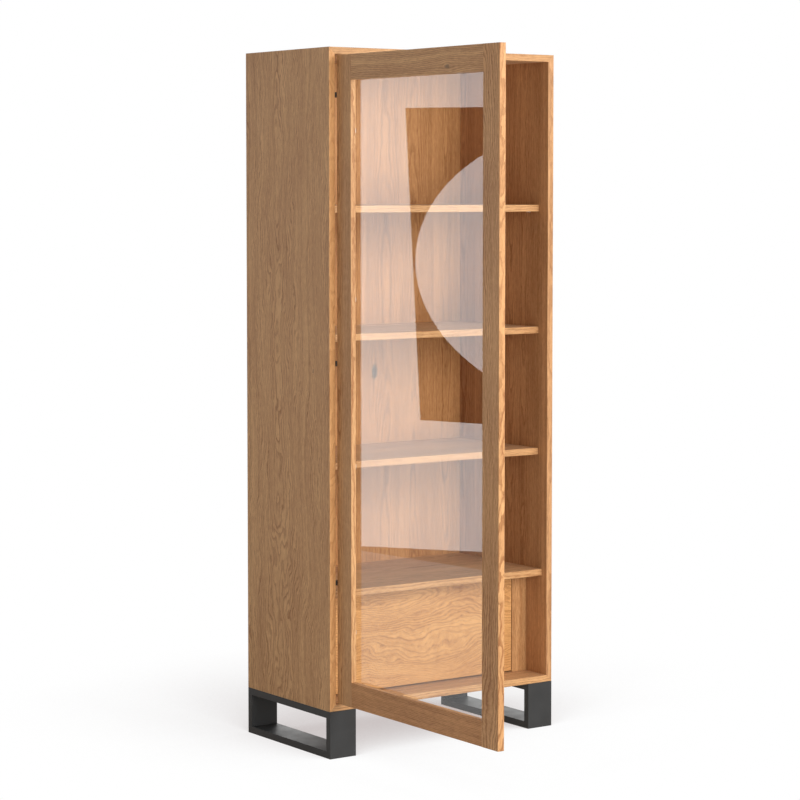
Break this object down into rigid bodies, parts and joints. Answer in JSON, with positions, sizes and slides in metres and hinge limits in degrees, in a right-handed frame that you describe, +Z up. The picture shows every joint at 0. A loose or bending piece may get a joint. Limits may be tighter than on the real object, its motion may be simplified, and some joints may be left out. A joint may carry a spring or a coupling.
{
  "type": "bookcase with glass door",
  "caption": "Tall narrow oak bookcase with a framed glass door, open shelves behind it, an inner drawer at the bottom and two black steel loop feet.",
  "frame": {"origin": "front left corner of the footprint, on the floor: the outer front corner of the left foot", "axes": "+X to the right along the front, +Y from the front to the back, +Z up"},
  "size_m": [0.794, 1.1913, 2],
  "materials": {
    "oak_case": "oiled solid oak, satin",
    "oak_shelf": "oiled solid oak, satin",
    "oak_back": "oiled oak veneer, satin",
    "oak_filler": "oiled solid oak, satin",
    "oak_door": "oiled solid oak, satin",
    "oak_drawer_front": "oiled solid oak with a bold figure, satin",
    "oak_drawer_box": "lacquered oak, satin",
    "drawer_bottom_ply": "lacquered plywood",
    "beech_dowel": "raw beech",
    "clear_glass": "clear float glass, 4 mm",
    "black_powder_coat": "fine textured matt powder coat on steel",
    "dark_hinge_metal": "dark bronzed steel",
    "dark_screw": "black steel screw",
    "zinc_steel": "zinc plated steel",
    "latch_plastic": "moulded grey plastic",
    "plunger_plastic": "moulded pale plastic"
  },
  "bodies": {
    "carcass": {"side_left": "oak_case", "side_right": "oak_case", "top_panel": "oak_case", "bottom_panel": "oak_case", "back_panel": "oak_back", "shelf_fixed": "oak_shelf", "shelf_dowels": "beech_dowel", "shelf_loose_1": "oak_shelf", "shelf_loose_2": "oak_shelf", "shelf_loose_3": "oak_shelf", "shelf_pins": "zinc_steel", "hinge_leaves_case": "dark_hinge_metal", "hinge_pins": "dark_hinge_metal", "door_latch": "latch_plastic", "filler_left": "oak_filler", "filler_right": "oak_filler", "runner_block_left": "oak_filler", "runner_block_right": "oak_filler", "runner_outer_left": "zinc_steel", "runner_outer_right": "zinc_steel", "push_housing_left": "latch_plastic", "push_housing_right": "latch_plastic", "foot_left": "black_powder_coat", "foot_right": "black_powder_coat", "foot_screws": "dark_screw"},
    "door": {"door_stile_hinge": "oak_door", "door_stile_free": "oak_door", "door_rail_bottom": "oak_door", "door_rail_top": "oak_door", "door_glass": "clear_glass", "glass_clips": "zinc_steel", "latch_strike_plate": "zinc_steel", "hinge_leaves_door": "dark_hinge_metal"},
    "drawer": {"drawer_front": "oak_drawer_front", "drawer_side_left": "oak_drawer_box", "drawer_side_right": "oak_drawer_box", "drawer_back": "oak_drawer_box", "drawer_bottom": "drawer_bottom_ply", "drawer_brackets": "zinc_steel", "runner_inner_left": "zinc_steel", "runner_inner_right": "zinc_steel"},
    "left_runner_slide": {"runner_middle_left": "zinc_steel"},
    "right_runner_slide": {"runner_middle_right": "zinc_steel"},
    "door_latch_plunger": {"door_plunger": "plunger_plastic"},
    "left_drawer_plunger": {"push_plunger_left": "plunger_plastic"},
    "right_drawer_plunger": {"push_plunger_right": "plunger_plastic"}
  },
  "joints": [
    {"name": "door_hinge", "type": "hinge", "parent": "carcass", "child": "door", "pos_m": [0.0215, -0.00175, 1.0675], "axis": [0, 0, -1], "range_deg": [-90, 90]},
    {"name": "drawer_slide", "type": "slide", "parent": "carcass", "child": "drawer", "axis": [0, -1, 0], "range_m": [0, 0.27]},
    {"name": "runner_slide_left", "type": "slide", "parent": "carcass", "child": "left_runner_slide", "axis": [0, -1, 0], "range_m": [0, 0.135]},
    {"name": "runner_slide_right", "type": "slide", "parent": "carcass", "child": "right_runner_slide", "axis": [0, -1, 0], "range_m": [0, 0.135]},
    {"name": "door_push", "type": "slide", "parent": "carcass", "child": "door_latch_plunger", "axis": [0, -1, 0], "range_m": [-0.003, 0.01], "stiffness_N_per_m": 200},
    {"name": "drawer_push_left", "type": "slide", "parent": "carcass", "child": "left_drawer_plunger", "axis": [0, -1, 0], "range_m": [-0.003, 0], "stiffness_N_per_m": 200},
    {"name": "drawer_push_right", "type": "slide", "parent": "carcass", "child": "right_drawer_plunger", "axis": [0, -1, 0], "range_m": [-0.003, 0], "stiffness_N_per_m": 200}
  ],
  "couplings": [
    {"joint": "runner_slide_left", "follows": "drawer_slide", "ratio": 0.5},
    {"joint": "runner_slide_right", "follows": "drawer_slide", "ratio": 0.5}
  ]
}
